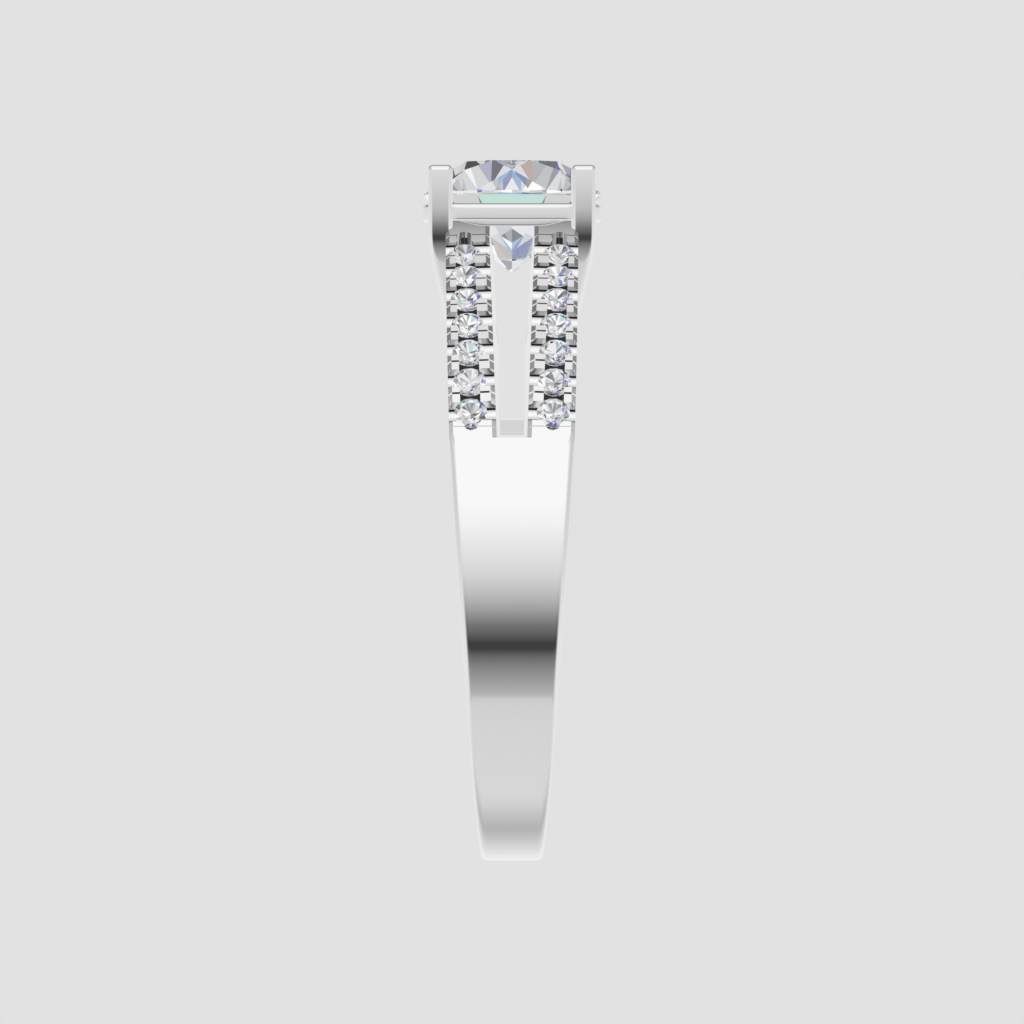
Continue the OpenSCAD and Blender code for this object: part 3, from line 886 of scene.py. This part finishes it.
# Tones that the polished metal shows, by degrees above the ring's own horizon, towards its head:
# on the side of the camera, at both sides and behind the ring
FRONT_TONES = (
    (-90, 0.68), (-75, 0.67), (-58, 0.655), (-50, 0.63), (-47.5, 0.60), (-45.5, 0.45), (-42, 0.37),
    (-36, 0.26), (-31, 0.15), (-27.5, 0.05), (-25, 0.05), (-23, 0.09), (-18, 0.18), (-13, 0.33),
    (-7, 0.50), (0, 0.65), (7, 0.75), (12, 0.80), (20, 0.90), (28, 0.945), (56, 0.945), (63, 0.89),
    (72, 0.82), (80, 0.74), (90, 0.73),
)
SIDE_TONES = ((-90, 0.60), (-30, 0.80), (-10, 0.74), (5, 0.66), (30, 0.60), (90, 0.73))
BACK_TONES = (
    (-90, 0.60), (-75, 0.50), (-62, 0.45), (-46, 0.65), (-30, 0.79), (-10, 0.80), (5, 0.70),
    (12, 0.62), (20, 0.40), (27, 0.20), (50, 0.18), (60, 0.25), (66, 0.42), (71, 0.52), (77, 0.58),
    (84, 0.78), (90, 0.73),
)
# Share of a screen's light that the metal gives back: the screens are brighter by so much
METAL_SHARE = 0.88

# Tones of the light that the stones break up into their facets, by the share of its cells at which
# each begins: mostly bright, with a few dark and a few faintly coloured ones that give the fire
STONE_TONES = (
    (0.0, "#232427"), (0.06, "#65676c"), (0.19, "#97999e"), (0.36, "#bfc0c4"), (0.56, "#dcdde0"),
    (0.76, "#f4f4f5"), (0.89, "#5866bd"), (0.93, "#bfaa9c"), (0.96, "#9bd8c8"), (0.975, "#ffffff"),
)

# Those cells to a unit of direction, how far the pattern is moved, which settles the tone of each
# facet, and the light's strength
STONE_CELLS = 5.5
STONE_MOVE = (25.9, 9.1, 49.7)
STONE_LIGHT = 1.15

# Single spots in that light, which the centre stone splits into its fire: the way to each (along
# the finger hole, away from the camera, up to the head), its half width in degrees and its colour
STONE_SPOTS = (
    ((0.0, 0.86, -0.51), 5.2, "#b0d4ca"),
    ((0.3, 0.79, -0.54), 6.0, "#c6c7c6"),
    ((-0.3, 0.79, -0.54), 6.0, "#c6c7c6"),
    ((0.12, 0.99, 0.05), 7.5, "#76aacd"),
    ((-0.12, 0.98, 0.16), 8.5, "#4f5e9c"),
    ((0.25, 0.96, 0.1), 5.5, "#b3a89f"),
    ((0.09, 0.98, -0.19), 5.0, "#ffffff"),
    ((0.21, 0.95, -0.23), 3.0, "#6c6d6f"),
    ((0.45, 0.05, -0.89), 8.0, "#ececec"),
    ((0.18, 0.5, -0.85), 6.0, "#e6e6e4"),
    ((0.17, 0.83, 0.54), 3.5, "#4a52a0"),
    ((-0.16, 0.84, 0.52), 5.0, "#5f6aae"),
    ((0.16, 0.89, 0.42), 3.4, "#a9a29e"),
    ((0.64, -0.19, 0.74), 9.0, "#d4d5d6"),
)


def tone_ramp(tree, share, tones):
    """A grey ramp over the height of a direction, -1 to 1 given as 0 to 1, from tones by degrees."""
    ramp = add_node(tree, "ShaderNodeValToRGB", [("Fac", share)])
    set_stops(ramp, [(0.5 + 0.5 * math.sin(math.radians(rise)), [tone] * 3) for rise, tone in tones])
    return ramp.outputs["Color"]


def build_studio(scene, v):
    """The light round the ring. The metal sees soft screens, bright above and darker below the
    ring's own horizon, with others at both sides and behind. Light that has passed a stone's facets
    sees a pattern of cells and spots, matt surfaces an even light, and the camera a plain wall. A
    broad soft lamp stands overhead."""
    world = bpy.data.worlds.new("studio")
    scene.world = world
    world.use_nodes = True
    tree = world.node_tree
    tree.nodes.clear()
    look = add_node(tree, "ShaderNodeTexCoord").outputs["Generated"]
    s, c = math.sin(v.tilt), math.cos(v.tilt)
    # the direction in parts along the finger hole, away from the camera and up to the head
    across, away, up = (
        add_node(tree, "ShaderNodeVectorMath", [(0, look), (1, way)], operation="DOT_PRODUCT").outputs[1]
        for way in ((s, 0, -c), (0, 1, 0), (c, 0, s))
    )
    share = add_node(tree, "ShaderNodeMapRange", [("Value", up)], From_Min=-1.0, From_Max=1.0)
    share = share.outputs["Result"]
    sideways = add_node(tree, "ShaderNodeMath", [(0, across)], operation="ABSOLUTE").outputs["Value"]
    screens = tone_ramp(tree, share, FRONT_TONES)
    for amount, start, full, tones in ((sideways, 0.3, 0.72, SIDE_TONES), (away, 0.0, 0.45, BACK_TONES)):
        blend = add_node(
            tree,
            "ShaderNodeMapRange",
            [("Value", amount), ("From Min", start), ("From Max", full)],
            interpolation_type="SMOOTHSTEP",
        )
        layers = [("Factor", blend.outputs["Result"]), (6, screens), (7, tone_ramp(tree, share, tones))]
        screens = add_node(tree, "ShaderNodeMix", layers, data_type="RGBA").outputs[2]
    shown = add_node(tree, "ShaderNodeBackground", [("Color", screens)], Strength=1 / METAL_SHARE)

    parts = [("X", across), ("Y", away), ("Z", up)]
    turned = add_node(tree, "ShaderNodeCombineXYZ", parts).outputs["Vector"]
    moved = add_node(tree, "ShaderNodeVectorMath", [(0, turned), (1, STONE_MOVE)], operation="ADD")
    cells = add_node(
        tree, "ShaderNodeTexVoronoi", [("Vector", moved.outputs[0])], Scale=STONE_CELLS, Randomness=0.9
    )
    pick = add_node(tree, "ShaderNodeSeparateColor", [("Color", cells.outputs["Color"])])
    sparkle = add_node(tree, "ShaderNodeValToRGB", [("Fac", pick.outputs["Red"])])
    sparkle.color_ramp.interpolation = "CONSTANT"
    set_stops(sparkle, [(start, srgb(tone)) for start, tone in STONE_TONES])
    tones = sparkle.outputs["Color"]
    for way, degrees, tone in STONE_SPOTS:
        centre = [(0, turned), (1, Vector(way).normalized())]
        facing = add_node(tree, "ShaderNodeVectorMath", centre, operation="DOT_PRODUCT")
        limit = [(0, facing.outputs["Value"]), (1, math.cos(math.radians(degrees)))]
        on_spot = add_node(tree, "ShaderNodeMath", limit, operation="GREATER_THAN")
        layers = [("Factor", on_spot.outputs["Value"]), (6, tones), (7, (*srgb(tone), 1))]
        tones = add_node(tree, "ShaderNodeMix", layers, data_type="RGBA").outputs[2]
    in_stones = add_node(tree, "ShaderNodeBackground", [("Color", tones)], Strength=STONE_LIGHT)

    even = add_node(tree, "ShaderNodeBackground", Color=(*srgb("#f0f0f0"), 1))
    wall = add_node(tree, "ShaderNodeBackground", Color=(*srgb("#e2e2e2"), 1))
    ray = add_node(tree, "ShaderNodeLightPath").outputs
    passed = add_node(tree, "ShaderNodeMath", [(0, ray["Transmission Depth"])], operation="GREATER_THAN")
    lights = (passed.outputs[0], in_stones), (ray["Is Diffuse Ray"], even), (ray["Is Camera Ray"], wall)
    for where, light in lights:
        layers = [("Fac", where), (1, shown.outputs[0]), (2, light.outputs[0])]
        shown = add_node(tree, "ShaderNodeMixShader", layers)
    add_node(tree, "ShaderNodeOutputWorld", [("Surface", shown.outputs[0])])

    data = bpy.data.lights.new("soft_lamp", "SUN")
    data.angle = math.radians(60)
    data.energy = 0.3
    lamp = bpy.data.objects.new("soft_lamp", data)
    lamp.location = (0, 0, 0.4)
    lamp.visible_glossy = False
    scene.collection.objects.link(lamp)


# Operators


class RING_OT_shank(bpy.types.Operator):
    """Build the tapered band with its split shoulders, bead blocks and channels"""

    bl_idname = "ring.shank"
    bl_label = "Band and Shoulders"
    bl_options = {"REGISTER", "UNDO"}

    def execute(self, context):
        v = ring_values()
        shells = mirror_images(shank_quarter(v), v) + mirror_images(slot_end(v), v, across=(1,))
        # the polished metal, then the painted shade of channels and groove belts, then the painted shade of
        # the drilled round
        finishes = (white_gold_polished(), white_gold_painted_shade(), white_gold_drilled_painted_shade())
        dress(make_piece("shank_polished", shells, *finishes), "ring_mount")
        return {"FINISHED"}


class RING_OT_under_head(bpy.types.Operator):
    """Build the two plain bands that close the finger hole under the head"""

    bl_idname = "ring.under_head"
    bl_label = "Bands under the Head"
    bl_options = {"REGISTER", "UNDO"}

    def execute(self, context):
        v = ring_values()
        shells = mirror_images(under_head_band(v), v, along=(1,))
        dress(make_piece("under_head_bands", shells, bpy.data.materials[POLISHED]), "ring_mount")
        return {"FINISHED"}


class RING_OT_rail(bpy.types.Operator):
    """Build the rounded-square gallery rail"""

    bl_idname = "ring.rail"
    bl_label = "Gallery Rail"
    bl_options = {"REGISTER", "UNDO"}

    def execute(self, context):
        v = ring_values()
        shells = mirror_images(rail_shell(v), v, across=(1,), along=(1,))
        dress(make_piece("gallery_rail", shells, bpy.data.materials[POLISHED]), "ring_mount")
        return {"FINISHED"}


class RING_OT_claws(bpy.types.Operator):
    """Build the four claws"""

    bl_idname = "ring.claws"
    bl_label = "Claws"
    bl_options = {"REGISTER", "UNDO"}

    def execute(self, context):
        v = ring_values()
        shells = mirror_images(claw_shell(v), v)
        dress(make_piece("claws", shells, bpy.data.materials[POLISHED]), "ring_mount")
        return {"FINISHED"}


class RING_OT_stones(bpy.types.Operator):
    """Give the centre stone and the small stones their cut and polished finish"""

    bl_idname = "ring.stones"
    bl_label = "Cut Stones"
    bl_options = {"REGISTER", "UNDO"}

    def execute(self, context):
        material = diamond_cut()
        for name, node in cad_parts.items():
            if "diamond" in name:
                node.data.materials.clear()
                node.data.materials.append(material)
                mirrors_studio_only(node)
        return {"FINISHED"}


class RING_OT_stage(bpy.types.Operator):
    """Set up the pale floor, the soft studio light and the camera"""

    bl_idname = "ring.stage"
    bl_label = "Studio"
    bl_options = {"REGISTER", "UNDO"}

    def execute(self, context):
        v = ring_values()
        scene = context.scene
        scene.view_settings.view_transform = "Standard"

        # a flat disc: circles of growing radius with a fan at their middle
        angle, radius = np.meshgrid(np.linspace(0, 2 * math.pi, 97)[:-1], [0.05, 0.12, 0.3, 0.8])
        disc = np.stack([radius * np.cos(angle), radius * np.sin(angle), np.zeros_like(angle)], -1)
        points, faces = capped(disc)
        floor = make_piece("studio_floor", [(points, faces[:2])], studio_floor())
        floor.visible_glossy = False
        floor.visible_transmission = False

        build_studio(scene, v)

        # the photographed side: straight in front of the ring, a little above the hole's middle,
        # looking down a little, and turned with the lying ring
        data = bpy.data.cameras.new("photo_camera")
        data.sensor_width = 36
        data.lens = data.sensor_width * FOCAL_PX / PICTURE_PX
        data.clip_start, data.clip_end = 0.005, 5
        camera = bpy.data.objects.new("photo_camera", data)
        scene.collection.objects.link(camera)
        s, c = math.sin(math.radians(CAMERA_DOWN)), math.cos(math.radians(CAMERA_DOWN))
        steps = np.array([[0, 0, 0], [0, c, -s], [0, s, c]])
        place, front, above = (Vector(point) for point in laid(CAMERA + steps, v))
        ahead = (front - place).normalized()
        head_up = (above - place).normalized()
        turn = Matrix((ahead.cross(head_up), head_up, -ahead)).transposed()
        camera.matrix_world = Matrix.Translation(place) @ turn.to_4x4()
        scene.camera = camera
        return {"FINISHED"}


class RING_PT_panel(bpy.types.Panel):
    """Sizes, finishes and building steps of the ring"""

    bl_idname = "RING_PT_panel"
    bl_label = "Engagement Ring"
    bl_space_type = "VIEW_3D"
    bl_region_type = "UI"
    bl_category = "Ring"

    def draw(self, context):
        for key, (title, _) in GROUPS.items():
            group = getattr(context.scene, key)
            box = self.layout.box()
            box.label(text=title)
            for name in setting_names(group):
                box.prop(group, name)
        for step in STEPS:
            self.layout.operator(step.bl_idname)


STEPS = (RING_OT_shank, RING_OT_under_head, RING_OT_rail, RING_OT_claws, RING_OT_stones, RING_OT_stage)
GROUPS = {
    "ring_band": ("Band and shoulders", BandSizes),
    "ring_rows": ("Rows of stones", RowSizes),
    "ring_head": ("Head", HeadSizes),
    "ring_finishes": ("Finishes", Finishes),
}
CLASSES = (*(group for _, group in GROUPS.values()), *STEPS, RING_PT_panel)


def register():
    for cls in CLASSES:
        bpy.utils.register_class(cls)
    for key, (_, group) in GROUPS.items():
        setattr(bpy.types.Scene, key, bpy.props.PointerProperty(type=group))


def unregister():
    for key in GROUPS:
        delattr(bpy.types.Scene, key)
    for cls in reversed(CLASSES):
        bpy.utils.unregister_class(cls)


def main():
    register()
    for step in STEPS:
        area, name = step.bl_idname.split(".")
        getattr(getattr(bpy.ops, area), name)()


if __name__ == "__main__":
    main()
